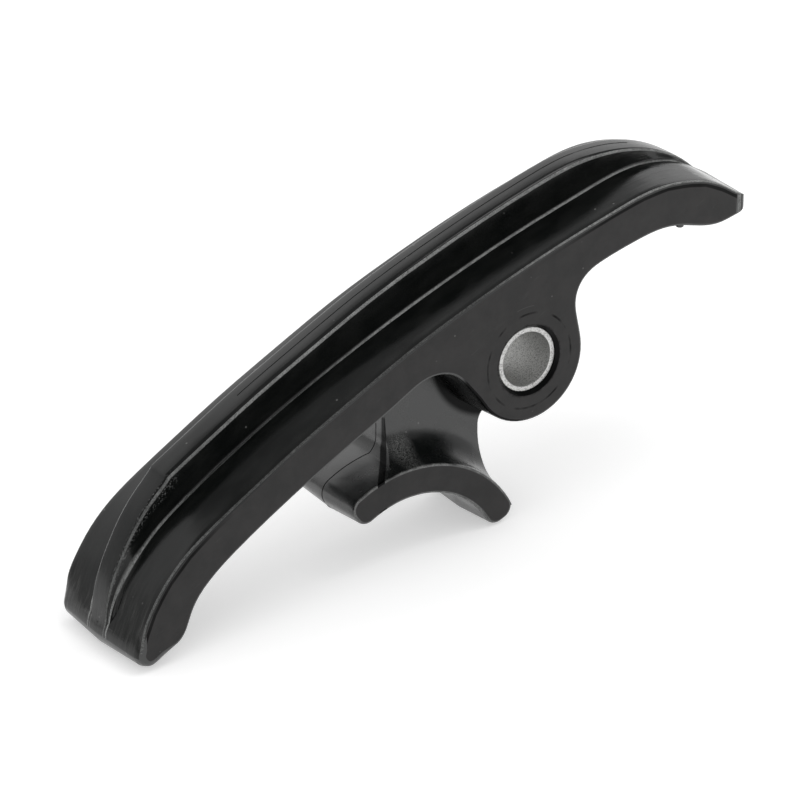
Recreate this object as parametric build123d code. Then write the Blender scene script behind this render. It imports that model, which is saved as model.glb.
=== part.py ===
from build123d import *
import math
import os

os.makedirs("parts", exist_ok=True)

# Chain slider, in millimetres and degrees. The bush lies along Y, and the part is the same
# on both sides of y = 0. Its side view is drawn with the bush's centre at (0, 0), and
# rest_turn then turns it about the bush, to stand on its lower end and its saddle.
rail_width = 21.6
rail_draft = 0.6
edge_round = 0.4
nose_round = 4.0
heel_round = 1.2
rest_turn = 4.6

# Guide rib that runs between the plates of the chain. Its root is buried in the moulding,
# its foot rounding is sunk a little below the ledge, and its crowned top has a flat.
rib_height = 5.9
rib_top_half = 2.45
rib_base_half = 2.75
rib_lead_half = 1.95
rib_crown = 0.2
rib_flat_share = 0.4
rib_corner = 0.75
rib_end_corner = 0.2
rib_foot = 0.5
rib_root = 1.5
rib_sink = 0.05
rib_toe = 0.9
rib_step = 4.0

# Round tip of the nose, boss, steel bush and the moulding nub under the nose. An arc is
# given by its centre, its radius and the angles where the outline joins and leaves it.
nose_tip = {"centre": (39.45, 15.75), "radius": 1.05, "angles": (56.0, -80.0)}
boss_radius = 9.5
boss = {"centre": (0.0, 0.0), "radius": boss_radius, "angles": (8.0, -148.0)}
bush_radius = 5.0
bush_bore_radius = 4.2
bush_fit = 0.02
bush_recess = 0.6
bush_length = rail_width - 2 * bush_recess
bush_chamfer = 0.35
mouth_chamfer = 0.45
nub_radius = 0.6
nub_drop = 0.3
nub_chamfer = 0.12
nub_inset = 0.7
nub_x = 27.6

# Saddle that seats on the frame tube, and the web that carries it.
saddle_seat_radius = 15.15
saddle_wall = 4.65
saddle_half = 7.7
saddle_draft_angle = 3.0
saddle_centre = (-17.85, -33.4)
saddle_left_angle = 126.0
saddle_right_angle = 24.8
saddle_tip_round = 1.9
web_half = 2.2
web_left = -19.6
web_right = -3.0
web_cove = 5.0
web_side_cove = 3.2
web_boss_cove = 3.0

# Near edge of the running face from the lower end to the nose, as x, z and how far
# the moulding stands above it at mid-width.
running_edge = [(-66.8, -28.3, 0.1), (-65.9, -25.6, 0.1), (-64.4, -22.2, 0.2),
                (-62.0, -18.7, 0.4), (-58.4, -15.1, 0.9), (-54.0, -12.0, 1.3),
                (-47.3, -7.9, 1.5), (-40.4, -3.8, 1.5), (-30.0, 1.8, 1.3),
                (-20.0, 6.9, 0.75), (-10.0, 11.2, 0.6), (0.0, 15.0, 0.6),
                (8.0, 17.7, 0.6), (14.6, 19.7, 0.65), (20.0, 21.2, 0.75),
                (24.5, 21.8, 0.95), (28.6, 21.6, 1.0), (32.0, 20.9, 0.9),
                (35.4, 19.4, 0.7), (38.0, 17.8, 0.6)]
underside_edge = [(38.1, 14.4), (34.6, 13.65), (31.0, 14.0), (27.7, 14.8), (24.2, 15.1), (19.0, 14.2),
                  (13.4, 12.6), (10.6, 11.3), (9.0, 9.5), (8.4, 7.0), (8.7, 4.8)]
belly_edge = [(-10.25, -2.2), (-13.3, 0.8), (-17.5, 1.45), (-22.0, -0.6), (-29.5, -4.65),
              (-39.6, -10.2), (-49.4, -16.2), (-54.3, -19.8), (-57.85, -24.2), (-59.9, -28.2)]
heel_edge = [(-62.7, -30.3), (-64.7, -31.2), (-66.2, -30.6), (-66.9, -29.4)]

# Height of the rib as a share of its full height, at distances along the running edge.
# It climbs a long ramp from its toe, runs level and falls in a straight slope to the nose.
rib_lead = [(-rib_toe, 0.03), (0.0, 0.08), (10.0, 0.42), (22.0, 1.0)]
rib_tail = [(22.0, 1.0), (94.0, 1.0), (97.6, 0.963), (101.1, 0.852), (121.2, 0.0)]


def arc_points(arc, growth):
    """Start, middle and end of an arc of the side outline, grown by a distance."""
    start, end = arc["angles"]
    angles = [math.radians(angle) for angle in (start, (start + end) / 2, end)]
    size = arc["radius"] + growth
    return [(arc["centre"][0] + size * math.cos(angle), arc["centre"][1] + size * math.sin(angle))
            for angle in angles]


def grown(points, steps):
    """Move each point of a clockwise loop out of the loop by its own step, and
    return the moved points with the direction in which the loop runs there."""
    moved = []
    for k in range(len(points)):
        back, ahead = points[k - 1], points[(k + 1) % len(points)]
        run, climb = ahead[0] - back[0], ahead[1] - back[1]
        size = math.hypot(run, climb)
        run, climb = run / size, climb / size
        moved.append(((points[k][0] - climb * steps[k], points[k][1] + run * steps[k]),
                      (run, climb)))
    return moved


def inset(corner, depth):
    """How far a rounded corner stands in at a depth below the side face."""
    if depth >= corner:
        return 0.0
    return corner - math.sqrt(corner ** 2 - (corner - depth) ** 2)


def rail_outline(depth, side):
    """Closed side outline of the moulding at a depth below the side face."""
    y = side * (half_width - depth)
    share = depth / half_width
    plain = rail_draft * share - inset(edge_round, depth)
    heel = rail_draft * share - inset(heel_round, depth)
    steps = [heel] + [rise * share - inset(edge_round, depth) for x, z, rise in running_edge[1:]]
    loop = [(x, z) for x, z, rise in running_edge]
    joins = {}
    for arc, beyond in ((nose_tip, underside_edge), (boss, belly_edge)):
        joins[len(loop)] = arc
        start, middle, end = arc_points(arc, 0.0)
        loop += [start, end] + beyond
    heel_at = len(loop)
    loop += heel_edge
    steps += [plain] * (heel_at - len(steps)) + [heel] * len(heel_edge)
    moved = grown(loop, steps)
    for at, arc in joins.items():
        ends = arc_points(arc, plain)[::2]
        for k, angle in enumerate(arc["angles"]):
            along = (math.sin(math.radians(angle)), -math.cos(math.radians(angle)))
            moved[at + k] = (ends[k], along)

    def curve(first, last):
        places = [k % len(moved) for k in range(first, last + 1)]
        passed = [0.0]
        for a, b in zip(places, places[1:]):
            passed.append(passed[-1] + math.dist(loop[a], loop[b]))
        ends = [moved[places[k]][1] for k in (0, -1)]
        return Edge.make_spline([Vector(moved[k][0][0], y, moved[k][0][1]) for k in places],
                                tangents=[Vector(run, 0, climb) for run, climb in ends],
                                parameters=passed, scale=False)

    def round_edge(arc):
        return ThreePointArc(*[Vector(x, y, z) for x, z in arc_points(arc, plain)]).edge()

    tip_at, boss_at = joins
    return Wire([curve(0, tip_at), round_edge(nose_tip), curve(tip_at + 1, boss_at), round_edge(boss),
                 curve(boss_at + 1, heel_at), curve(heel_at, len(moved))])


def table_at(table, distance):
    """Value of a table of (distance, value) at a distance, straight between its rows."""
    for (start, first), (end, last) in zip(table, table[1:]):
        if distance <= end:
            return first + (last - first) * max(0.0, distance - start) / (end - start)
    return table[-1][1]


def rib_section(distance, share):
    """Rib cross-section at a distance along the running edge, square to the edge. The
    crowned top and each of the four roundings are drawn as three flats."""
    lead_share = min(1.0, (distance + rib_toe) / (rib_lead[-1][0] + rib_toe))
    top = rib_height * share
    top_half = rib_lead_half + (rib_top_half - rib_lead_half) * lead_share
    corner = rib_end_corner + (rib_corner - rib_end_corner) * share
    skirt = rib_base_half + rib_foot
    ledge = table_at(rises, distance) * (1 - skirt / half_width)
    shoulder = top - rib_crown * share
    foot = min(ledge, shoulder - corner - rib_foot) - rib_sink
    turns = [(math.sin(k * math.pi / 6), math.cos(k * math.pi / 6)) for k in range(4)]
    wall = [(top_half - corner * (1 - across), shoulder - corner * (1 - up)) for across, up in turns]
    wall += [(skirt - rib_foot * up, foot + rib_foot * (1 - across)) for across, up in turns]
    wall.append((skirt, foot - rib_root))
    near = [(rib_flat_share * wall[0][0], top)] + wall
    loop = near + [(-y, z) for y, z in reversed(near)]
    at = path.position_at(distance + rib_toe, position_mode=PositionMode.LENGTH)
    along = path.tangent_at(distance + rib_toe, position_mode=PositionMode.LENGTH)
    plane = Plane(origin=at, x_dir=(0, 1, 0), z_dir=along)
    return (plane * make_face(Polyline(*loop, close=True))).face().outer_wire()


def rib_part(table):
    """Part of the rib that follows a table of heights."""
    start, end = table[0][0], table[-1][0]
    count = round((end - start) / rib_step)
    stops = [start + (end - start) * k / count for k in range(count + 1)]
    return Solid.make_loft([rib_section(stop, table_at(table, stop)) for stop in stops])


# The moulding is lofted through outlines at these depths below its side faces, which
# carry the rounded edges, and through the widest outline at mid-width.
half_width = rail_width / 2
depths = [0.0, 0.3 * edge_round, edge_round, heel_round]
near_half = [rail_outline(depth, -1) for depth in depths]
far_half = [rail_outline(depth, 1) for depth in reversed(depths)]
rail = Solid.make_loft(near_half + [rail_outline(half_width, 1)] + far_half, ruled=True)
tip_x = nose_tip["centre"][0] + nose_tip["radius"] + rail_draft
reach = 2 * (tip_x - running_edge[0][0])
plan = Rectangle(reach, rail_width, align=(Align.MAX, Align.CENTER))
plan = fillet(plan.vertices().group_by(Axis.X)[-1], nose_round)
rail = rail & extrude(Pos(tip_x, 0) * plan, amount=reach, both=True)

# The rib's path is the running edge, and runs on straight at the lower end for the toe.
rises, passed = [], 0.0
for k in range(len(running_edge)):
    if k:
        passed += math.dist(running_edge[k - 1][:2], running_edge[k][:2])
    rises.append((passed, running_edge[k][2]))
toe = [a - (b - a) * rib_toe / rises[1][0] for a, b in zip(running_edge[0][:2], running_edge[1][:2])]
path = Spline([Vector(toe[0], 0, toe[1])] + [Vector(x, 0, z) for x, z, rise in running_edge]).edge()
rib = rib_part(rib_lead) + rib_part(rib_tail)

side_plane = Plane(origin=(0, 0, 0), x_dir=(1, 0, 0), z_dir=(0, -1, 0))
centre_x, centre_z = saddle_centre
saddle_outer = saddle_seat_radius + saddle_wall


def ray(angle, reach):
    """Point at a distance from the saddle's centre."""
    return (centre_x + reach * math.cos(math.radians(angle)),
            centre_z + reach * math.sin(math.radians(angle)))


ring = Pos(centre_x, centre_z) * (Circle(saddle_outer) - Circle(saddle_seat_radius))
middle_angle = (saddle_left_angle + saddle_right_angle) / 2
wedge_angles = (saddle_right_angle, middle_angle, saddle_left_angle)
wedge_corners = [ray(angle, 2 * saddle_outer) for angle in wedge_angles]
wedge = make_face(Polyline((centre_x, centre_z), *wedge_corners, close=True))
arc_side = fillet((ring & wedge).vertices(), saddle_tip_round)
swell = saddle_half * math.tan(math.radians(saddle_draft_angle))


def saddle_outline(depth, side):
    """Closed side outline of the saddle at a depth below its side face."""
    grow = swell * depth / saddle_half - inset(edge_round, depth)
    outline = offset(arc_side, grow) if grow else arc_side
    return (side_plane * Pos(0, 0, -side * (saddle_half - depth)) * outline).face().outer_wire()


near_saddle = [saddle_outline(depth, -1) for depth in depths[:3]]
far_saddle = [saddle_outline(depth, 1) for depth in reversed(depths[:3])]
saddle = Solid.make_loft(near_saddle + [saddle_outline(saddle_half, 1)] + far_saddle, ruled=True)

# The web's cross-section round the saddle's axis: a thin wall that flares into the saddle.
web_top = math.hypot(centre_x, centre_z)
web_base = saddle_seat_radius + saddle_wall / 2
corner = saddle_outer + web_cove
lean = web_cove * (1 - math.sqrt(0.5))
cove = [(web_half, corner), (web_half + lean, saddle_outer + lean), (web_half + web_cove, saddle_outer)]


def cove_half(sign):
    """One side of the flared cross-section, from the web's top to its base in the saddle."""
    points = [(sign * y, r) for y, r in cove]
    return [Line((sign * web_half, web_top), points[0]), ThreePointArc(*points),
            Line(points[2], (points[2][0], web_base))]


caps = [Line((-web_half, web_top), (web_half, web_top)),
        Line((-cove[2][0], web_base), (cove[2][0], web_base))]
flare_plane = Plane(origin=(centre_x, 0, centre_z), x_dir=(0, 1, 0), z_dir=(1, 0, 0))
flare = flare_plane * make_face(cove_half(1) + cove_half(-1) + caps)
saddle_axis = Axis((centre_x, 0, centre_z), (0, 1, 0))
flare = revolve(flare.rotate(saddle_axis, -saddle_left_angle / 2), saddle_axis, saddle_left_angle)

# The web's side view: a column from the saddle to the belly, with a cove at each foot
# and another where it runs into the boss.
web_width = web_right - web_left
web_head = max(z for x, z in belly_edge) + rail_draft
column = Pos(web_left, centre_z) * Rectangle(web_width, web_head - centre_z, align=(Align.MIN, Align.MIN))
seat = Pos(centre_x, centre_z) * Circle(saddle_outer)
seat &= Pos(web_left - web_side_cove, centre_z) * Rectangle(web_width + 2 * web_side_cove, web_top,
                                                            align=(Align.MIN, Align.MIN))
web_side = column + seat + Circle(boss_radius)


def foot_height(x):
    """Height of the top of the saddle at a place along the part."""
    return centre_z + math.sqrt(saddle_outer ** 2 - (x - centre_x) ** 2)


boss_meets = -math.sqrt(boss_radius ** 2 - web_right ** 2)
for x, z, cove_size in ((web_left, foot_height(web_left), web_side_cove),
                        (web_right, foot_height(web_right), web_side_cove),
                        (web_right, boss_meets, web_boss_cove)):
    web_side = fillet(web_side.vertices().sort_by_distance((x, z, 0))[:1], cove_size)
web = extrude(side_plane * web_side, amount=saddle_half, both=True) & flare

slider = rail + rib + saddle + web
nub_z = min((point for point in underside_edge if point[0] >= nub_x), key=lambda point: point[0])[1]
nub = Pos(nub_x, nub_inset - half_width, nub_z) * Cylinder(nub_radius, 2 * nub_drop)
slider += chamfer(nub.edges().group_by(Axis.Z)[0], nub_chamfer)
bore = Rot(90, 0, 0) * Cylinder(bush_radius + bush_fit, rail_width)
slider -= bore
mouth_edges = slider.edges().filter_by(GeomType.CIRCLE)
mouth_edges = mouth_edges.filter_by(lambda edge: abs(edge.radius - bush_radius - bush_fit) < 0.001)
slider = chamfer(mouth_edges, mouth_chamfer)

bush = Cylinder(bush_radius, bush_length) - Cylinder(bush_bore_radius, bush_length)
bush = chamfer(bush.edges().filter_by(GeomType.CIRCLE), bush_chamfer)
bush = Rot(90, 0, 0) * bush

turn = Rot(0, rest_turn, 0)
slider = turn * slider
bush = turn * bush
for name, solid in (("slider_body", slider), ("bush", bush)):
    box = solid.bounding_box()
    print(name, "valid", solid.is_valid, "solids", len(solid.solids()), "volume", round(solid.volume, 1),
          "x", round(box.min.X, 2), round(box.max.X, 2), "z", round(box.min.Z, 2), round(box.max.Z, 2))
    export_step(solid, f"parts/{name}.step")
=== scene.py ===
import bpy
import math
import numpy as np
from mathutils import Matrix, Vector


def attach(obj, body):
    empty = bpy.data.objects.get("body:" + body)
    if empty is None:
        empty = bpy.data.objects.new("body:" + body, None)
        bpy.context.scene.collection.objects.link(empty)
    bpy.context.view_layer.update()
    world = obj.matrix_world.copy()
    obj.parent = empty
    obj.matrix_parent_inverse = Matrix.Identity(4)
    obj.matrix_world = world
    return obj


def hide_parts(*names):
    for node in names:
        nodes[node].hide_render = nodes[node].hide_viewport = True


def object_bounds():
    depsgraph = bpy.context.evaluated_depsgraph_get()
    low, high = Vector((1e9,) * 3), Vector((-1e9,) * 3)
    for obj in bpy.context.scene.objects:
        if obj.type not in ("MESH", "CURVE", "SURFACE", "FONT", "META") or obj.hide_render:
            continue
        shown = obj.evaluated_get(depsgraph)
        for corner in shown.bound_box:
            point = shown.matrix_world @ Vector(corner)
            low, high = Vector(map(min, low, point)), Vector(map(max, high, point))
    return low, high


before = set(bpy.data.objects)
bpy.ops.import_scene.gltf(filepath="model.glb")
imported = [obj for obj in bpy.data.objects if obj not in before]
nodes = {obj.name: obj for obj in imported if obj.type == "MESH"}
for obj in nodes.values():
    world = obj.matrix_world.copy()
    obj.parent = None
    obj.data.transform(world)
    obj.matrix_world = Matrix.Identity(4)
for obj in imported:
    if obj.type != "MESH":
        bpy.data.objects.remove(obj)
boxAtStart = [list(map(float, corner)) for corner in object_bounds()]
scene = bpy.context.scene
mm = 0.001
joinDigits = 7    # places in metres that agree to so many digits are one place


def placed(name, data):
    thing = bpy.data.objects.new(name, data)
    scene.collection.objects.link(thing)
    return thing


# Camera. Angles in degrees, lengths in millimetres.
camera = {
    "azimuth": -32.55,
    "elevation": 26.48,
    "roll": -4.24,
    "distance": 609.6,
    "aim": (-16.94, -1.78, -4.06),
    "lens": 189.0,
    "sensor": 36.0,
    "clip": (10.0, 20000.0),
}


def makeCamera(values):
    azimuth, elevation, roll = (math.radians(values[key])
                                for key in ("azimuth", "elevation", "roll"))
    back = Vector((math.sin(azimuth) * math.cos(elevation),
                   -math.cos(azimuth) * math.cos(elevation),
                   math.sin(elevation)))
    right = Vector((math.cos(azimuth), math.sin(azimuth), 0.0))
    up = back.cross(right)
    turn = Matrix((right, up, back)).transposed() @ Matrix.Rotation(roll, 3, "Z")
    data = bpy.data.cameras.new("camera")
    data.lens = values["lens"]
    data.sensor_width = values["sensor"]
    data.clip_start, data.clip_end = (distance * mm for distance in values["clip"])
    thing = placed("camera", data)
    place = Vector(values["aim"]) * mm + back * values["distance"] * mm
    thing.matrix_world = Matrix.Translation(place) @ turn.to_4x4()
    scene.camera = thing


makeCamera(camera)
print("camera placed")

# Light: a pale surround with a dark ceiling and walls that are brighter high at the back, a
# soft lamp overhead for the shadow, and a low one in front that draws the edges.
# Places and sizes in metres, angles in degrees. "brighterFrom" is a pair of cosines.
lighting = {
    "surround": 0.8,
    "walls": (0.55, 1.25),
    "brighterTowards": (0.20, 0.45, 0.87),
    "brighterFrom": (0.30, 0.92),
    "ceiling": 0.27,
    "ceilingAxis": (0.205, -0.274, 0.940),
    "ceilingEdge": (63.9, 58.7),
    "background": 1.0,
    "lamps": (
        {"name": "overhead", "place": (0.28, -0.16, 0.85), "size": 0.50, "power": 1.3},
        {"name": "lowFront", "place": (-0.06, -0.92, 0.17), "size": 0.26, "power": 0.5},
    ),
    "aim": (-0.015, 0.0, 0.0),
}


def combine(tree, operation, *values):
    # Math nodes in a chain, on the first two values and then on each next one; every value
    # is a socket or a number
    result = values[0]
    for value in values[1:]:
        step = tree.nodes.new("ShaderNodeMath")
        step.operation = operation
        for place, side in enumerate((result, value)):
            if isinstance(side, (int, float)):
                step.inputs[place].default_value = side
            else:
                tree.links.new(side, step.inputs[place])
        result = step.outputs[0]
    return result


def product(tree, *values):
    return combine(tree, "MULTIPLY", *values)


def total(tree, *values):
    return combine(tree, "ADD", *values)


def largest(tree, *values):
    return combine(tree, "MAXIMUM", *values)


def magnitude(tree, value):
    # the node's second input has no effect
    return combine(tree, "ABSOLUTE", value, 0.0)


def directRay(tree, names=("Is Camera Ray", "Is Glossy Ray", "Is Transmission Ray")):
    # the largest of the named light path values: 1 for such a ray, 0 for any other
    path = tree.nodes.new("ShaderNodeLightPath")
    return largest(tree, *(path.outputs[name] for name in names))


def remap(tree, value, low, high, toLow=0.0, toHigh=1.0, smooth=False):
    # straight or smooth ramp from toLow at low to toHigh at high, level outside
    spread = tree.nodes.new("ShaderNodeMapRange")
    spread.interpolation_type = "SMOOTHSTEP" if smooth else "LINEAR"
    spread.clamp = True
    for name, number in (("From Min", low), ("From Max", high),
                         ("To Min", toLow), ("To Max", toHigh)):
        spread.inputs[name].default_value = number
    tree.links.new(value, spread.inputs["Value"])
    return spread.outputs["Result"]


def leaning(tree, direction, axis):
    # cosine of the angle between a direction and an axis
    towards = tree.nodes.new("ShaderNodeVectorMath")
    towards.operation = "DOT_PRODUCT"
    towards.inputs[1].default_value = axis
    tree.links.new(direction, towards.inputs[0])
    return towards.outputs["Value"]


def makeWorld(values):
    world = bpy.data.worlds.new("surround")
    scene.world = world
    world.use_nodes = True
    tree = world.node_tree
    tree.nodes.clear()
    out = tree.nodes.new("ShaderNodeOutputWorld")
    direction = tree.nodes.new("ShaderNodeTexCoord").outputs["Generated"]
    walls = remap(tree, leaning(tree, direction, values["brighterTowards"]),
                  *values["brighterFrom"], *values["walls"])
    start, end = (math.cos(math.radians(angle)) for angle in values["ceilingEdge"])
    above = remap(tree, leaning(tree, direction, values["ceilingAxis"]), start, end, smooth=True)
    below = combine(tree, "SUBTRACT", 1.0, above)
    level = total(tree, product(tree, walls, below), product(tree, above, values["ceiling"]))
    backgrounds = {}
    for name in ("felt", "mirrored", "seen"):
        backgrounds[name] = tree.nodes.new("ShaderNodeBackground")
        backgrounds[name].inputs["Color"].default_value = (1.0, 1.0, 1.0, 1.0)
    backgrounds["felt"].inputs["Strength"].default_value = values["surround"]
    backgrounds["seen"].inputs["Strength"].default_value = values["background"]
    tree.links.new(level, backgrounds["mirrored"].inputs["Strength"])
    last = backgrounds["felt"].outputs[0]
    for name, rays in (("mirrored", ("Is Glossy Ray",)),
                       ("seen", ("Is Camera Ray", "Is Transmission Ray"))):
        mix = tree.nodes.new("ShaderNodeMixShader")
        tree.links.new(directRay(tree, rays), mix.inputs[0])
        tree.links.new(last, mix.inputs[1])
        tree.links.new(backgrounds[name].outputs[0], mix.inputs[2])
        last = mix.outputs[0]
    tree.links.new(last, out.inputs["Surface"])


def makeLamps(values):
    for lamp in values["lamps"]:
        data = bpy.data.lights.new(lamp["name"], "AREA")
        data.shape = "DISK"
        data.size = lamp["size"]
        data.energy = lamp["power"]
        place = Vector(lamp["place"])
        turn = (place - Vector(values["aim"])).normalized().to_track_quat("Z", "Y").to_matrix()
        placed(lamp["name"], data).matrix_world = Matrix.Translation(place) @ turn.to_4x4()


makeWorld(lighting)
makeLamps(lighting)
scene.view_settings.view_transform = "Standard"
print("lights placed")

# White sheet under the part, in metres. Its lift is a glow that only direct rays see.
floorSheet = {"half": 2.5, "colour": (0.8, 0.8, 0.8, 1.0), "lift": 0.42}


def makeFloor(values):
    low = boxAtStart[0][2]
    half = values["half"]
    corners = [(-half, -half, low), (half, -half, low), (half, half, low), (-half, half, low)]
    mesh = bpy.data.meshes.new("floorSheet")
    mesh.from_pydata(corners, [], [(0, 1, 2, 3)])
    thing = placed("floorSheet", mesh)
    material = bpy.data.materials.new("paleFloor")
    material.use_nodes = True
    tree = material.node_tree
    tree.nodes.clear()
    out = tree.nodes.new("ShaderNodeOutputMaterial")
    matt = tree.nodes.new("ShaderNodeBsdfDiffuse")
    matt.inputs["Color"].default_value = values["colour"]
    glow = tree.nodes.new("ShaderNodeEmission")
    tree.links.new(product(tree, directRay(tree), values["lift"]), glow.inputs["Strength"])
    add = tree.nodes.new("ShaderNodeAddShader")
    tree.links.new(matt.outputs[0], add.inputs[0])
    tree.links.new(glow.outputs[0], add.inputs[1])
    tree.links.new(add.outputs[0], out.inputs["Surface"])
    mesh.materials.append(material)


makeFloor(floorSheet)
print("floor placed")


def newMaterial(name):
    material = bpy.data.materials.new(name)
    material.use_nodes = True
    return material, material.node_tree, material.node_tree.nodes["Principled BSDF"]


def scaled(tree, vector, scale):
    stretched = tree.nodes.new("ShaderNodeMapping")
    stretched.inputs["Scale"].default_value = scale
    tree.links.new(vector, stretched.inputs["Vector"])
    return stretched.outputs["Vector"]


def objectPlaces(tree):
    # Object coordinates in millimetres
    coordinates = tree.nodes.new("ShaderNodeTexCoord")
    return scaled(tree, coordinates.outputs["Object"], (1.0 / mm, 1.0 / mm, 1.0 / mm))


def attribute(tree, name):
    read = tree.nodes.new("ShaderNodeAttribute")
    read.attribute_name = name
    return read.outputs


def parts(tree, vector):
    split = tree.nodes.new("ShaderNodeSeparateXYZ")
    tree.links.new(vector, split.inputs[0])
    return split.outputs


def noise(tree, places, size, detail=2.0, roughness=0.5):
    # cloudy values about 0.5, with features of the given size in the places' own unit
    texture = tree.nodes.new("ShaderNodeTexNoise")
    texture.inputs["Scale"].default_value = 1.0 / size
    texture.inputs["Detail"].default_value = detail
    texture.inputs["Roughness"].default_value = roughness
    tree.links.new(places, texture.inputs["Vector"])
    return texture.outputs["Fac"]


# Dust: a spot's soft edge as two radii, in cell widths, and the width of the pick's ramp
dustSpot = {"edge": (0.16, 0.07), "pick": 0.02}


def specks(tree, places, size, share):
    # small round spots, in one cell of a few: 1 at a spot and 0 elsewhere
    cells = tree.nodes.new("ShaderNodeTexVoronoi")
    cells.inputs["Scale"].default_value = 1.0 / size
    tree.links.new(places, cells.inputs["Vector"])
    spot = remap(tree, cells.outputs["Distance"], *dustSpot["edge"])
    pick = parts(tree, cells.outputs["Color"])[0]
    return product(tree, spot, remap(tree, pick, share, share - dustSpot["pick"]))


def band(tree, value, low, high, soft):
    # 1 between low and high, falling to 0 over the soft width outside them
    rise = remap(tree, value, low - soft, low, smooth=True)
    fall = remap(tree, value, high, high + soft, 1.0, 0.0, smooth=True)
    return product(tree, rise, fall)


def sideDistance(tree, places, x=0.0, z=0.0):
    # distance in the side view from a point, or else from the bush's axis, in millimetres
    shift = tree.nodes.new("ShaderNodeVectorMath")
    shift.operation = "SUBTRACT"
    shift.inputs[1].default_value = (x, 0.0, z)
    tree.links.new(scaled(tree, places, (1.0, 0.0, 1.0)), shift.inputs[0])
    length = tree.nodes.new("ShaderNodeVectorMath")
    length.operation = "LENGTH"
    tree.links.new(shift.outputs[0], length.inputs[0])
    return length.outputs["Value"]


def tint(tree, share, under, over):
    # from the under colour to the over colour by a share; under may be a socket
    blend = tree.nodes.new("ShaderNodeMix")
    blend.data_type = "RGBA"
    first, second = (socket for socket in blend.inputs if socket.type == "RGBA")
    if isinstance(under, tuple):
        first.default_value = (*under, 1.0)
    else:
        tree.links.new(under, first)
    second.default_value = (*over, 1.0)
    tree.links.new(share, blend.inputs[0])
    return next(socket for socket in blend.outputs if socket.type == "RGBA")


def relief(tree, shader, height, strength, distance):
    # height times distance in millimetres, as a bump
    bump = tree.nodes.new("ShaderNodeBump")
    bump.inputs["Strength"].default_value = strength
    bump.inputs["Distance"].default_value = distance * mm
    tree.links.new(height, bump.inputs["Height"])
    tree.links.new(bump.outputs["Normal"], shader.inputs["Normal"])


# How the finishes are given, in millimetres and degrees: a noise as its size, detail and
# roughness; its Spread as the two levels that a ramp runs between, with the ramp's two results
# where they aren't 0 and 1; a line across a surface as its two sides and soft width; other
# pairs as the places where a mark starts and is full.

# Finely textured side faces.
sideFinish = {
    "dark": (0.0030, 0.0025, 0.0025),
    "light": (0.0082, 0.0070, 0.0068),
    "scuffed": (0.035, 0.034, 0.033),
    "black": (0.0008, 0.0008, 0.0008),
    "mottle": (3.6, 4.0, 0.6),
    "mottleSpread": (0.38, 0.64),
    "hair": (0.5, 3.0, 0.6),
    "hairTurn": 24.0,
    "hairStretch": (0.16, 1.0, 1.6),
    "hairSpread": (0.63, 0.75),
    "hairAreas": (7.0, 1.0),
    "hairAreasSpread": (0.48, 0.66),
    "hairShare": 0.4,
    "witness": (7.30, 7.50, 0.10),
    "witnessBreaks": (3.0, 2.0),
    "witnessBreaksSpread": (0.42, 0.60),
    "scratch": (8.5, 8.55, 0.05),
    "scratchAcross": (-1.4, 1.2, 0.4),
    "scratchAbove": (0.0, 1.0),
    "scratchShare": 0.8,
    "underEdge": (-0.80, -0.40, 0.12),
    "underEdgeHeel": (26.0, 17.0),
    "underEdgeNose": (84.0, 96.0),
    "gap": (5.75, 5.35),
    "gapRagged": (0.9, 3.0, 0.7),
    "gapRaggedSpread": (0.3, 0.7, -0.25, 0.25),
    "dust": (0.09, 0.09, 0.087),
    "dustCells": (1.15, 0.05),
    "roughnessSpread": (0.3, 0.7, 0.38, 0.50),
    "specular": 0.42,
    "specularSpread": (0.36, 0.66, -0.03, 0.03),
    "dullSpecular": 0.12,
    "grain": (0.22, 2.0, 0.6),
    "bump": (0.35, 0.02),
}


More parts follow.
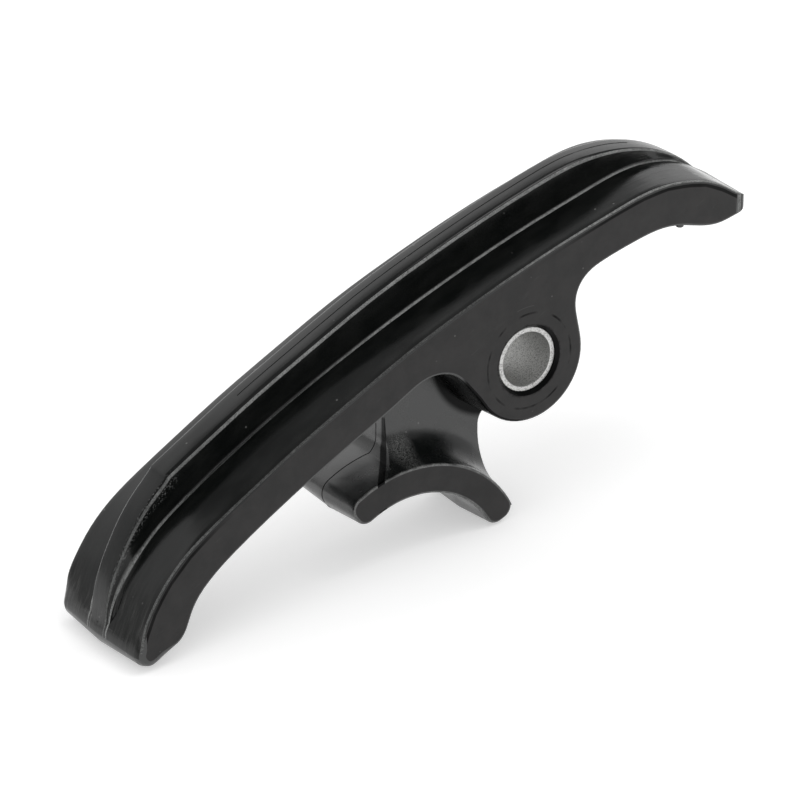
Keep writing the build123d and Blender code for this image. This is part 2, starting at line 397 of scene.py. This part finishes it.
def texturedSide(values):
    material, tree, shader = newMaterial("texturedSide")
    places = objectPlaces(tree)
    x, _, z = parts(tree, places)
    mottle = noise(tree, places, *values["mottle"])
    colour = tint(tree, remap(tree, mottle, *values["mottleSpread"]),
                  values["dark"], values["light"])
    # short scuffs that lie along the rail
    turned = tree.nodes.new("ShaderNodeMapping")
    turned.inputs["Rotation"].default_value = (0.0, math.radians(values["hairTurn"]), 0.0)
    tree.links.new(places, turned.inputs["Vector"])
    hair = noise(tree, scaled(tree, turned.outputs[0], values["hairStretch"]), *values["hair"])
    areas = noise(tree, places, *values["hairAreas"])
    scuff = product(tree, remap(tree, hair, *values["hairSpread"]),
                    remap(tree, areas, *values["hairAreasSpread"]), values["hairShare"])
    colour = tint(tree, scuff, colour, values["scuffed"])
    # round witness line about the bush, broken here and there
    fromBush = sideDistance(tree, places)
    breaks = noise(tree, places, *values["witnessBreaks"])
    witness = product(tree, band(tree, fromBush, *values["witness"]),
                      remap(tree, breaks, *values["witnessBreaksSpread"]))
    colour = tint(tree, witness, colour, values["black"])
    # short scratch that follows the boss above the bush
    scratch = product(tree, band(tree, fromBush, *values["scratch"]),
                      band(tree, x, *values["scratchAcross"]),
                      remap(tree, z, *values["scratchAbove"]), values["scratchShare"])
    colour = tint(tree, scratch, colour, values["scuffed"])
    # dark line under the edge of the running face, at its two ends
    along, _, above = parts(tree, attribute(tree, "railWay")["Vector"])
    ends = largest(tree, remap(tree, along, *values["underEdgeHeel"], smooth=True),
                   remap(tree, along, *values["underEdgeNose"], smooth=True))
    underEdge = product(tree, band(tree, above, *values["underEdge"]), ends)
    colour = tint(tree, underEdge, colour, values["black"])
    colour = tint(tree, specks(tree, places, *values["dustCells"]), colour, values["dust"])
    tree.links.new(colour, shader.inputs["Base Color"])
    tree.links.new(remap(tree, mottle, *values["roughnessSpread"]), shader.inputs["Roughness"])
    # the lines and the ragged gap round the bush lose their shine
    ragged = total(tree, fromBush, remap(tree, noise(tree, places, *values["gapRagged"]),
                                         *values["gapRaggedSpread"]))
    dull = largest(tree, witness, underEdge, remap(tree, ragged, *values["gap"]))
    shine = total(tree, remap(tree, mottle, *values["specularSpread"]),
                  remap(tree, dull, 0.0, 1.0, values["specular"], values["dullSpecular"]))
    tree.links.new(shine, shader.inputs["Specular IOR Level"])
    grain = noise(tree, places, *values["grain"])
    relief(tree, shader, combine(tree, "SUBTRACT", grain, dull), *values["bump"])
    return material


# Glossy running faces that the chain slides on. Lengths along run from the heel; those
# across a wall or corner of the rib start at its top corner.
runningFinish = {
    "dark": (0.0026, 0.0032, 0.0030),
    "light": (0.0072, 0.0078, 0.0074),
    # the next colour is the pale painted highlight along the rib's corners, its foot and the face's
    # edge
    "paleHighlight": (0.30, 0.305, 0.30),
    "scuffed": (0.024, 0.024, 0.023),
    "patch": (2.6, 3.0, 0.55),
    "patchStretch": (0.45, 1.0, 1.0),
    "patchSpread": (0.38, 0.70),
    "streak": (0.55, 3.0, 0.6),
    "streakStretch": (0.10, 1.0, 1.0),
    "streakSpread": (0.46, 0.70),
    "heelScuff": (16.0, 3.0),
    "noseScuff": (100.0, 110.0),
    "scuffShare": (0.10, 0.85),
    "corner": (-0.20, -0.04, 0.04),
    "cornerAlong": (16.0, 36.0, 0.45, 1.0),
    # a broken painted highlight along the rib's top corner near the heel
    "brokenHighlight": (-0.50, 0.05, 0.10),
    "brokenHighlightAlong": (6.0, 21.0, 3.0),
    "brokenHighlightBits": (0.30, 2.0, 0.8),
    "brokenHighlightBitsSpread": (0.54, 0.64),
    "brokenHighlightShare": 0.5,
    "foot": (0.42, 0.62, 0.10),
    "footBelow": (1.2, 0.7),
    "edge": (10.46, 10.68, 0.06),
    "edgeHeel": (26.0, 17.0, 0.30, 0.50),
    "edgeNose": (62.0, 90.0, 0.0, 0.9),
    "nicks": (0.7, 3.0, 0.7),
    "nicksStretch": (0.35, 1.0, 1.0),
    "nicksSpread": (0.34, 0.62, 0.6, 1.0),
    "grain": (0.16, 2.0, 0.7),
    "grainSpread": (0.38, 0.56, 0.25, 1.0),
    "dust": (0.10, 0.10, 0.097),
    "dustCells": (1.3, 0.08),
    "roughnessSpread": (0.3, 0.7, 0.11, 0.20),
    "top": (-0.5, -0.9),
    "topRoughness": 0.24,
    "scuffRoughness": 0.42,
    "specularAlong": (26.0, 46.0, 0.31, 0.5),
    "noseEnd": (39.0, 39.4, 1.0, 0.1),
    "patchHeight": 0.8,
    "streakHeight": (0.35, 1.6),
    "lineHeight": 1.6,
    "grainHeight": 0.12,
    "bump": (0.5, 0.03),
}


def paintedHighlightLines(tree, way, offWall, grain, values):
    # painted highlights along the rib's corners, at its foot and along the edge of the running
    # face, with the share of them that its grain and nicks leave
    along, across, above = parts(tree, way)
    corner = product(tree, band(tree, offWall, *values["corner"]),
                     remap(tree, along, *values["cornerAlong"]))
    bits = remap(tree, noise(tree, way, *values["brokenHighlightBits"]), *values["brokenHighlightBitsSpread"])
    brokenHighlight = product(tree, band(tree, offWall, *values["brokenHighlight"]),
                   band(tree, along, *values["brokenHighlightAlong"]),
                   bits, values["brokenHighlightShare"])
    foot = product(tree, band(tree, offWall, *values["foot"]),
                   remap(tree, above, *values["footBelow"]))
    ends = largest(tree, remap(tree, along, *values["edgeHeel"]),
                   remap(tree, along, *values["edgeNose"]))
    edge = product(tree, band(tree, magnitude(tree, across), *values["edge"]), ends)
    lines = largest(tree, corner, brokenHighlight, foot, edge)
    nicks = noise(tree, scaled(tree, way, values["nicksStretch"]), *values["nicks"])
    return lines, product(tree, lines, remap(tree, grain, *values["grainSpread"]),
                          remap(tree, nicks, *values["nicksSpread"]))


def glossyRunningFace(values):
    material, tree, shader = newMaterial("glossyRunningFace")
    way = attribute(tree, "railWay")["Vector"]
    offWall = attribute(tree, "offWall")["Fac"]
    along = parts(tree, way)[0]
    streak = noise(tree, scaled(tree, way, values["streakStretch"]), *values["streak"])
    patch = noise(tree, scaled(tree, way, values["patchStretch"]), *values["patch"])
    grain = noise(tree, way, *values["grain"])
    colour = tint(tree, remap(tree, patch, *values["patchSpread"]), values["dark"], values["light"])
    # scuffs: strong at the heel and towards the nose, faint and streaky between
    ends = largest(tree, remap(tree, along, *values["heelScuff"], smooth=True),
                   remap(tree, along, *values["noseScuff"], smooth=True))
    scuff = product(tree, remap(tree, streak, *values["streakSpread"]),
                    remap(tree, ends, 0.0, 1.0, *values["scuffShare"]))
    colour = tint(tree, scuff, colour, values["scuffed"])
    # pale painted highlights along the rib's corners, its foot and the face's edge, broken by grain
    # and nicks
    lines, highlightShare = paintedHighlightLines(tree, way, offWall, grain, values)
    colour = tint(tree, highlightShare, colour, values["paleHighlight"])
    colour = tint(tree, specks(tree, way, *values["dustCells"]), colour, values["dust"])
    tree.links.new(colour, shader.inputs["Base Color"])
    top = remap(tree, offWall, *values["top"], smooth=True)
    rough = largest(tree, remap(tree, patch, *values["roughnessSpread"]),
                    product(tree, top, values["topRoughness"]),
                    product(tree, largest(tree, scuff, lines), values["scuffRoughness"]))
    tree.links.new(rough, shader.inputs["Roughness"])
    # the heel shines less, and the nose's end hardly
    x = parts(tree, objectPlaces(tree))[0]
    shine = product(tree, remap(tree, along, *values["specularAlong"], smooth=True),
                    remap(tree, x, *values["noseEnd"]))
    tree.links.new(shine, shader.inputs["Specular IOR Level"])
    streaky = product(tree, streak, remap(tree, ends, 0.0, 1.0, *values["streakHeight"]))
    depth = total(tree, product(tree, lines, values["lineHeight"]), values["grainHeight"])
    grainy = product(tree, grain, depth)
    height = total(tree, product(tree, patch, values["patchHeight"]), streaky, grainy)
    relief(tree, shader, height, *values["bump"])
    return material


# Smooth satin of the web, the saddle and the underside.
satinFinish = {
    "dark": (0.0055, 0.0066, 0.0064),
    "light": (0.0100, 0.0112, 0.0108),
    # the next colour is the pale painted highlight on the saddle's edges and over the hollow's left
    # end
    "paleHighlight": (0.15, 0.152, 0.148),
    # the near black of the painted shade in the web's corner, round the boss and round the bush
    "black": (0.0012, 0.0014, 0.0014),
    "patch": (3.0, 3.0, 0.5),
    "patchSpread": (0.35, 0.65),
    "grain": (0.16, 2.0, 0.7),
    "saddleEdge": (7.44, 7.66, 0.05),
    "edgeGrainSpread": (0.38, 0.58, 0.2, 1.0),
    "edgeBreaks": (2.0, 2.0),
    "edgeBreaksSpread": (0.36, 0.60),
    # where the speckled painted highlight over the hollow's left end lies, and its size
    "speckledHighlightPlace": (-18.6, -10.8),
    "speckledHighlightRadius": (2.5, 0.9),
    "speckledHighlightGrainSpread": (0.42, 0.58),
    # places of the painted shade: the web's corner, the hollow round the boss and the gap round the
    # bush
    "cornerLean": 0.78,
    "cornerLine": (-19.55, -18.40, 0.15),
    "cornerOut": (-1.2, -1.6),
    "cornerWithin": (7.9, 7.7),
    "cornerBelow": (-5.2, -5.9),
    "hollow": (12.1, 10.9),
    "hollowBefore": (-0.5, -2.5),
    "gap": (6.2, 5.8),
    "dust": (0.10, 0.10, 0.097),
    "dustCells": (1.2, 0.07),
    "roughnessSpread": (0.3, 0.7, 0.20, 0.30),
    "specular": 0.85,
    "dullSpecular": 0.10,
    "edgeHeight": 0.8,
    "bump": (0.3, 0.02),
}


def paintedShadePlaces(tree, places, values):
    # painted shade: the web's near left corner and on down the saddle, as a line that leans
    # outwards as it goes left; the hollow that runs round the boss; and the gap round the bush
    x, y, z = parts(tree, places)
    away = magnitude(tree, y)
    slanted = total(tree, x, product(tree, away, values["cornerLean"]))
    corner = product(tree, band(tree, slanted, *values["cornerLine"]),
                     remap(tree, y, *values["cornerOut"]),
                     remap(tree, away, *values["cornerWithin"]),
                     remap(tree, z, *values["cornerBelow"]))
    fromBush = sideDistance(tree, places)
    hollow = product(tree, remap(tree, fromBush, *values["hollow"], smooth=True),
                     remap(tree, x, *values["hollowBefore"]))
    return largest(tree, corner, hollow, remap(tree, fromBush, *values["gap"]))


def smoothSatin(values):
    material, tree, shader = newMaterial("smoothSatin")
    places = objectPlaces(tree)
    patch = noise(tree, places, *values["patch"])
    colour = tint(tree, remap(tree, patch, *values["patchSpread"]), values["dark"], values["light"])
    # painted highlights along the edges of the saddle's sides, broken up by grain
    away = magnitude(tree, parts(tree, places)[1])
    grain = noise(tree, places, *values["grain"])
    breaks = noise(tree, places, *values["edgeBreaks"])
    paleHighlight = product(tree, band(tree, away, *values["saddleEdge"]),
                   remap(tree, grain, *values["edgeGrainSpread"]),
                   remap(tree, breaks, *values["edgeBreaksSpread"]))
    colour = tint(tree, paleHighlight, colour, values["paleHighlight"])
    # pale speckled painted highlight at the left end of the hollow over the saddle
    fromSpeckledHighlight = sideDistance(tree, places, *values["speckledHighlightPlace"])
    scuff = product(tree, remap(tree, fromSpeckledHighlight, *values["speckledHighlightRadius"]),
                    remap(tree, grain, *values["speckledHighlightGrainSpread"]))
    colour = tint(tree, scuff, colour, values["paleHighlight"])
    # painted shade: near black in the web's corner, the hollow round the boss and the gap round the
    # bush
    dull = paintedShadePlaces(tree, places, values)
    colour = tint(tree, dull, colour, values["black"])
    colour = tint(tree, specks(tree, places, *values["dustCells"]), colour, values["dust"])
    tree.links.new(colour, shader.inputs["Base Color"])
    tree.links.new(remap(tree, patch, *values["roughnessSpread"]), shader.inputs["Roughness"])
    shine = remap(tree, dull, 0.0, 1.0, values["specular"], values["dullSpecular"])
    tree.links.new(shine, shader.inputs["Specular IOR Level"])
    height = total(tree, patch, product(tree, paleHighlight, values["edgeHeight"]), scuff)
    relief(tree, shader, height, *values["bump"])
    return material


# The moulding, a smooth-shaded copy of the CAD solid. Lengths in millimetres, angles in degrees.
# The rail's line is the near edge of the running face from the heel to the nose, as x and z.
moulding = {
    "railLine": ((-68.9, -22.9), (-67.7, -20.2), (-66.0, -17.0), (-63.3, -13.7), (-59.4, -10.4),
                 (-54.8, -7.6), (-47.8, -4.1), (-40.6, -0.5), (-29.8, 4.2), (-19.4, 8.5),
                 (-9.1, 12.0), (1.2, 15.0), (9.4, 17.0), (16.1, 18.5), (21.6, 19.5),
                 (26.2, 19.8), (30.2, 19.2), (33.6, 18.3), (36.8, 16.5), (39.3, 14.7)),
    "ribHalf": (1.95, 2.45),
    "ribLead": (-0.9, 22.0),
    "smoothAngle": 33.0,
    "sideDepth": 0.05,
    "saddleHalf": 7.7,
    "faceDepth": 0.45,
    "faceFrom": -1.0,
    "noseFrom": 39.3,
    "topLean": 0.2,
    "topHalf": 1.75,
    # least or most share of a face's outward direction that is across the part
    "sideShare": 0.98,
    "wallShare": 0.95,
    "topShare": 0.5,
}


def joinedMesh(node):
    # corners and triangles of a CAD node, with loose triangles joined where they meet
    source = nodes[node].data
    places = np.empty(len(source.vertices) * 3)
    source.vertices.foreach_get("co", places)
    corners = np.empty(len(source.loops), dtype=np.int64)
    source.loops.foreach_get("vertex_index", corners)
    rounded = np.round(places.reshape(-1, 3), joinDigits)
    points, joined = np.unique(rounded, axis=0, return_inverse=True)
    faces = joined.reshape(-1)[corners].reshape(-1, 3)
    whole = ((faces[:, 0] != faces[:, 1]) & (faces[:, 1] != faces[:, 2])
             & (faces[:, 2] != faces[:, 0]))
    return points, faces[whole]


def railPlaces(points, values):
    # in millimetres: length along the rail's line to the nearest point of it, y, and the
    # height above the line there; then the distance outwards from the rib's top corner
    line = np.array(values["railLine"])
    step = np.diff(line, axis=0)
    length = np.hypot(step[:, 0], step[:, 1])
    start = np.cumsum(length) - length
    way = step / length[:, None]
    offset = points[:, None, [0, 2]] / mm - line[None, :-1]
    share = (offset * way).sum(axis=2)
    held = share.clip(0.0, length)
    held[:, 0] = np.minimum(share[:, 0], length[0])
    held[:, -1] = np.maximum(share[:, -1], 0.0)
    left = offset - held[:, :, None] * way
    nearest = np.argmin((left ** 2).sum(axis=2), axis=1)
    row = np.arange(len(points))
    along = start[nearest] + held[row, nearest]
    left = left[row, nearest]
    above = way[nearest, 0] * left[:, 1] - way[nearest, 1] * left[:, 0]
    across = points[:, 1] / mm
    half = np.interp(along, values["ribLead"], values["ribHalf"])
    return np.stack([along, across, above], axis=1), np.abs(across) - half


def faceShape(points, faces):
    # outward directions and areas: the cross product of two sides is twice the area long
    start = points[faces[:, 0]]
    cross = np.cross(points[faces[:, 1]] - start, points[faces[:, 2]] - start)
    double = np.linalg.norm(cross, axis=1)
    return cross / double[:, None], double / 2.0


def finishOfFaces(points, faces, normals, values):
    # 0 for the flat sides of the rail and saddle, 1 for the running side of the rail and the
    # nose's end, 2 for the rest
    centres = points[faces].mean(axis=1)
    away = np.abs(centres[:, 1]) / mm
    way = railPlaces(centres, values)[0]
    widest = np.abs(points[:, 1]).max() / mm
    flat = np.abs(normals[:, 1]) > values["sideShare"]
    side = flat & ((away > widest - values["sideDepth"])
                   | (np.abs(away - values["saddleHalf"]) < values["sideDepth"]))
    running = (way[:, 2] > -values["faceDepth"]) & (way[:, 0] > values["faceFrom"])
    finish = np.where(running | (centres[:, 0] > values["noseFrom"] * mm), 1, 2)
    finish[side] = 0
    return finish


def shadedNormals(points, faces, normals, areas, values):
    # at each corner, the mean of the normals of the faces that meet there within the smooth
    # angle, each weighted by its area, so that flats stay flat and roundings carry the turn
    corner = faces.ravel()
    face = np.repeat(np.arange(len(faces)), 3)
    order = np.argsort(corner, kind="stable")
    count = np.bincount(corner, minlength=len(points))
    first = np.cumsum(count) - count
    each = count[corner[order]]
    left = np.repeat(order, each)
    step = np.arange(each.sum()) - np.repeat(np.cumsum(each) - each, each)
    right = order[np.repeat(first[corner[order]], each) + step]
    one, other = face[left], face[right]
    limit = math.cos(math.radians(values["smoothAngle"]))
    close = (normals[one] * normals[other]).sum(axis=1) > limit
    lean = flattened(points, faces, normals, values)
    weight = areas[other] * close
    mean = np.stack([np.bincount(left, weight * lean[other, k], minlength=len(corner))
                     for k in range(3)], axis=1)
    return mean / np.linalg.norm(mean, axis=1)[:, None]


def flattened(points, faces, normals, values):
    # face normals, with the rib's walls shaded upright and its crowned top nearly level across
    centres = points[faces].mean(axis=1)
    way = railPlaces(centres, values)[0]
    running = (way[:, 2] > 0.0) & (way[:, 0] > 0.0)
    wall = running & (np.abs(normals[:, 1]) > values["wallShare"])
    top = (running & (np.abs(way[:, 1]) < values["topHalf"])
           & (np.abs(normals[:, 1]) < values["topShare"]))
    lean = normals.copy()
    lean[wall] = np.sign(normals[wall]) * (0.0, 1.0, 0.0)
    lean[top, 1] *= values["topLean"]
    return lean / np.linalg.norm(lean, axis=1)[:, None]


def makeMoulding(values):
    points, faces = joinedMesh("slider_body")
    normals, areas = faceShape(points, faces)
    mesh = bpy.data.meshes.new("sliderMoulding")
    mesh.from_pydata(points.tolist(), [], faces.tolist())
    # in the order of the numbers that finishOfFaces gives
    for material in (texturedSide(sideFinish), glossyRunningFace(runningFinish),
                     smoothSatin(satinFinish)):
        mesh.materials.append(material)
    finish = finishOfFaces(points, faces, normals, values)
    mesh.polygons.foreach_set("material_index", finish.astype(np.int32))
    way, offWall = railPlaces(points, values)
    kept = mesh.attributes.new("railWay", "FLOAT_VECTOR", "POINT")
    kept.data.foreach_set("vector", way.astype(np.float32).ravel())
    kept = mesh.attributes.new("offWall", "FLOAT", "POINT")
    kept.data.foreach_set("value", offWall.astype(np.float32))
    mesh.shade_smooth()
    mesh.normals_split_custom_set(shadedNormals(points, faces, normals, areas, values).tolist())
    print("faces by finish", np.bincount(finish).tolist())
    return placed("sliderMoulding", mesh)


sliderMoulding = makeMoulding(moulding)
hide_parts("slider_body")
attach(sliderMoulding, "root")
print("moulding made")

# Parting line of the mould on the middle of the rib and down the web and saddle: a fine ridge that
# stands a little proud, coloured near black as painted shade along it. Lengths in millimetres.
# Known fault: webBox also takes in the crown of the saddle's seat, and going by height joins
# that to the saddle's left end, so a few stray faces of seamOnWeb hang under the seat.
seam = {
    "half": 0.12,
    "topShare": 0.5,
    "proud": 0.03,
    "sunk": 0.06,
    "leastStep": 0.05,
    "ribSpan": (36.0, 108.0),
    "ribAbove": 3.0,
    "webBox": ((-33.0, -17.0), (-25.0, -2.5)),
    "webBelow": -3.0,
    "webFacing": 0.2,
    "colour": ((0.0008, 0.0008, 0.0008), (0.006, 0.006, 0.006)),
    "patch": (0.8, 3.0, 0.6),
    "patchSpread": (0.4, 0.65),
    "roughnessSpread": (0.3, 0.7, 0.45, 0.7),
    "specular": 0.12,
    "bump": (0.3, 0.02),
}


def seamWithPaintedShade(values):
    material, tree, shader = newMaterial("seamWithPaintedShade")
    patch = noise(tree, objectPlaces(tree), *values["patch"])
    # near black colour: painted shade along the raised seam
    colour = tint(tree, remap(tree, patch, *values["patchSpread"]), *values["colour"])
    tree.links.new(colour, shader.inputs["Base Color"])
    tree.links.new(remap(tree, patch, *values["roughnessSpread"]), shader.inputs["Roughness"])
    shader.inputs["Specular IOR Level"].default_value = values["specular"]
    relief(tree, shader, patch, *values["bump"])
    return material


def middleCuts(points, faces):
    # where the mesh's edges cross or reach the middle plane, and the outward direction there:
    # each crossing splits its edge in the ratio of its ends' distances from the plane
    normals = faceShape(points, faces)[0]
    edges = np.concatenate([faces[:, [0, 1]], faces[:, [1, 2]], faces[:, [2, 0]]])
    outward = np.tile(normals, (3, 1))
    low, high = points[edges[:, 0]], points[edges[:, 1]]
    crossing = (low[:, 1] * high[:, 1] <= 0.0) & (low[:, 1] != high[:, 1])
    low, high, outward = low[crossing], high[crossing], outward[crossing]
    share = low[:, 1] / (low[:, 1] - high[:, 1])
    return low + (high - low) * share[:, None], outward


def ridgeMesh(name, path, outward, values):
    # a flat-topped ridge carried along the path: four points across at each place, the outer
    # two sunk and the inner two proud, and none above the part's own top
    share = values["topShare"]
    across = np.array([-1.0, -share, share, 1.0]) * values["half"] * mm
    lift = np.array([-values["sunk"], values["proud"], values["proud"], -values["sunk"]]) * mm
    grid = path[:, None, :] + outward[:, None, :] * lift[None, :, None]
    grid[:, :, 1] = across[None, :]
    grid[:, :, 2] = np.minimum(grid[:, :, 2], boxAtStart[1][2])
    corner = np.arange(len(path) * 4).reshape(-1, 4)
    quads = np.stack([corner[:-1, :-1], corner[1:, :-1], corner[1:, 1:], corner[:-1, 1:]], axis=-1)
    mesh = bpy.data.meshes.new(name)
    mesh.from_pydata(grid.reshape(-1, 3).tolist(), [], quads.reshape(-1, 4).tolist())
    mesh.shade_smooth()
    return mesh


def makeSeam(name, chosen, order, cuts, outward, material, values):
    # the chosen crossings in order, those in nearly one place as one with the mean of their
    # outward directions, as a ridge
    rank = np.argsort(order[chosen])
    path, turn = cuts[chosen][rank], outward[chosen][rank]
    step = np.linalg.norm(np.diff(path, axis=0), axis=1)
    fresh = np.concatenate([[True], step > values["leastStep"] * mm])
    group = np.cumsum(fresh) - 1
    turn = np.stack([np.bincount(group, turn[:, k]) for k in range(3)], axis=1)
    turn[:, 1] = 0.0
    turn /= np.linalg.norm(turn, axis=1)[:, None]
    mesh = ridgeMesh(name, path[fresh], turn, values)
    mesh.materials.append(material)
    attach(placed(name, mesh), "root")


def makeSeams(values):
    points, faces = joinedMesh("slider_body")
    cuts, outward = middleCuts(points, faces)
    way = railPlaces(cuts, moulding)[0]
    material = seamWithPaintedShade(values)
    start, end = values["ribSpan"]
    onRib = (way[:, 2] > values["ribAbove"]) & (way[:, 0] > start) & (way[:, 0] < end)
    makeSeam("seamOnRib", onRib, way[:, 0], cuts, outward, material, values)
    (left, right), (low, high) = values["webBox"]
    x, z = cuts[:, 0] / mm, cuts[:, 2] / mm
    onWeb = ((x > left) & (x < right) & (z > low) & (z < high)
             & (way[:, 2] < values["webBelow"]) & (outward[:, 0] < values["webFacing"]))
    makeSeam("seamOnWeb", onWeb, z, cuts, outward, material, values)
    print("seam points", int(onRib.sum()), int(onWeb.sum()))


makeSeams(seam)
print("seams made")

# The steel bush: bright turned ends, greyer bore, whose colour is set lighter than the ends' as
# painted light in the bore. Lengths in millimetres, angle in degrees.
tube = {
    "outerRadius": 5.0,
    "boreRadius": 4.2,
    "halfLength": 10.2,
    "rounding": 0.14,
    "roundingSteps": 4,
    "around": 96,
    "sharpAngle": 40.0,
    # the bore's colour, lighter than the ends': painted light in the bore
    "bore": (0.74, 0.74, 0.73),
    "end": (0.60, 0.60, 0.59),
    "endFrom": (4.22, 4.30),
    "dull": (0.16, 0.16, 0.155),
    "dullSpread": (0.48, 0.64, 0.0, 0.7),
    "boreRoughness": 0.44,
    "endRoughness": 0.42,
    "roughnessSpread": (0.3, 0.7, -0.05, 0.12),
    "grain": (0.22, 3.0, 0.7),
    "grainHeight": 0.8,
    "turning": (0.12, 2.0, 0.6),
    "bump": (0.35, 0.03),
}


def brightTube(values):
    material, tree, shader = newMaterial("brightTube")
    places = objectPlaces(tree)
    radius = sideDistance(tree, places)
    end = remap(tree, radius, *values["endFrom"])
    grain = noise(tree, places, *values["grain"])
    # the bore's lighter colour is painted light in the bore
    colour = tint(tree, end, values["bore"], values["end"])
    colour = tint(tree, remap(tree, grain, *values["dullSpread"]), colour, values["dull"])
    tree.links.new(colour, shader.inputs["Base Color"])
    rough = total(tree, remap(tree, end, 0.0, 1.0, values["boreRoughness"], values["endRoughness"]),
                  remap(tree, grain, *values["roughnessSpread"]))
    tree.links.new(rough, shader.inputs["Roughness"])
    shader.inputs["Metallic"].default_value = 1.0
    # rings left by turning: noise that changes with the radius and along the tube only
    rings = tree.nodes.new("ShaderNodeCombineXYZ")
    tree.links.new(radius, rings.inputs[0])
    tree.links.new(parts(tree, places)[1], rings.inputs[1])
    turning = noise(tree, rings.outputs[0], *values["turning"])
    height = total(tree, turning, product(tree, grain, values["grainHeight"]))
    relief(tree, shader, height, *values["bump"])
    return material


def makeTube(values):
    # a closed wall section with four rounded corners, carried round the bush's axis
    turn = np.radians(np.linspace(0.0, 90.0, values["roundingSteps"] + 1))
    bend = values["rounding"] * np.stack([1.0 - np.cos(turn), 1.0 - np.sin(turn)], axis=1)
    inner, outer, half = values["boreRadius"], values["outerRadius"], values["halfLength"]
    near = np.stack([inner + bend[:, 0], -half + bend[:, 1]], axis=1)
    far = np.stack([outer - bend[:, 0], -half + bend[:, 1]], axis=1)[::-1]
    section = np.concatenate([near, far])
    section = np.concatenate([section, section[::-1] * (1.0, -1.0)])
    angle = np.arange(values["around"]) * 2.0 * math.pi / values["around"]
    grid = np.stack([section[None, :, 0] * np.sin(angle)[:, None],
                     np.broadcast_to(section[None, :, 1], (len(angle), len(section))),
                     section[None, :, 0] * np.cos(angle)[:, None]], axis=-1) * mm
    corner = np.arange(grid.shape[0] * grid.shape[1]).reshape(grid.shape[:2])
    ahead, beside = np.roll(corner, -1, axis=0), np.roll(corner, -1, axis=1)
    quads = np.stack([corner, ahead, np.roll(ahead, -1, axis=1), beside], axis=-1)
    mesh = bpy.data.meshes.new("steelTube")
    mesh.from_pydata(grid.reshape(-1, 3).tolist(), [], quads.reshape(-1, 4).tolist())
    mesh.shade_smooth()
    mesh.set_sharp_from_angle(angle=math.radians(values["sharpAngle"]))
    mesh.materials.append(brightTube(values))
    return placed("steelTube", mesh)


steelTube = makeTube(tube)
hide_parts("bush")
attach(steelTube, "root")
print("bush made")
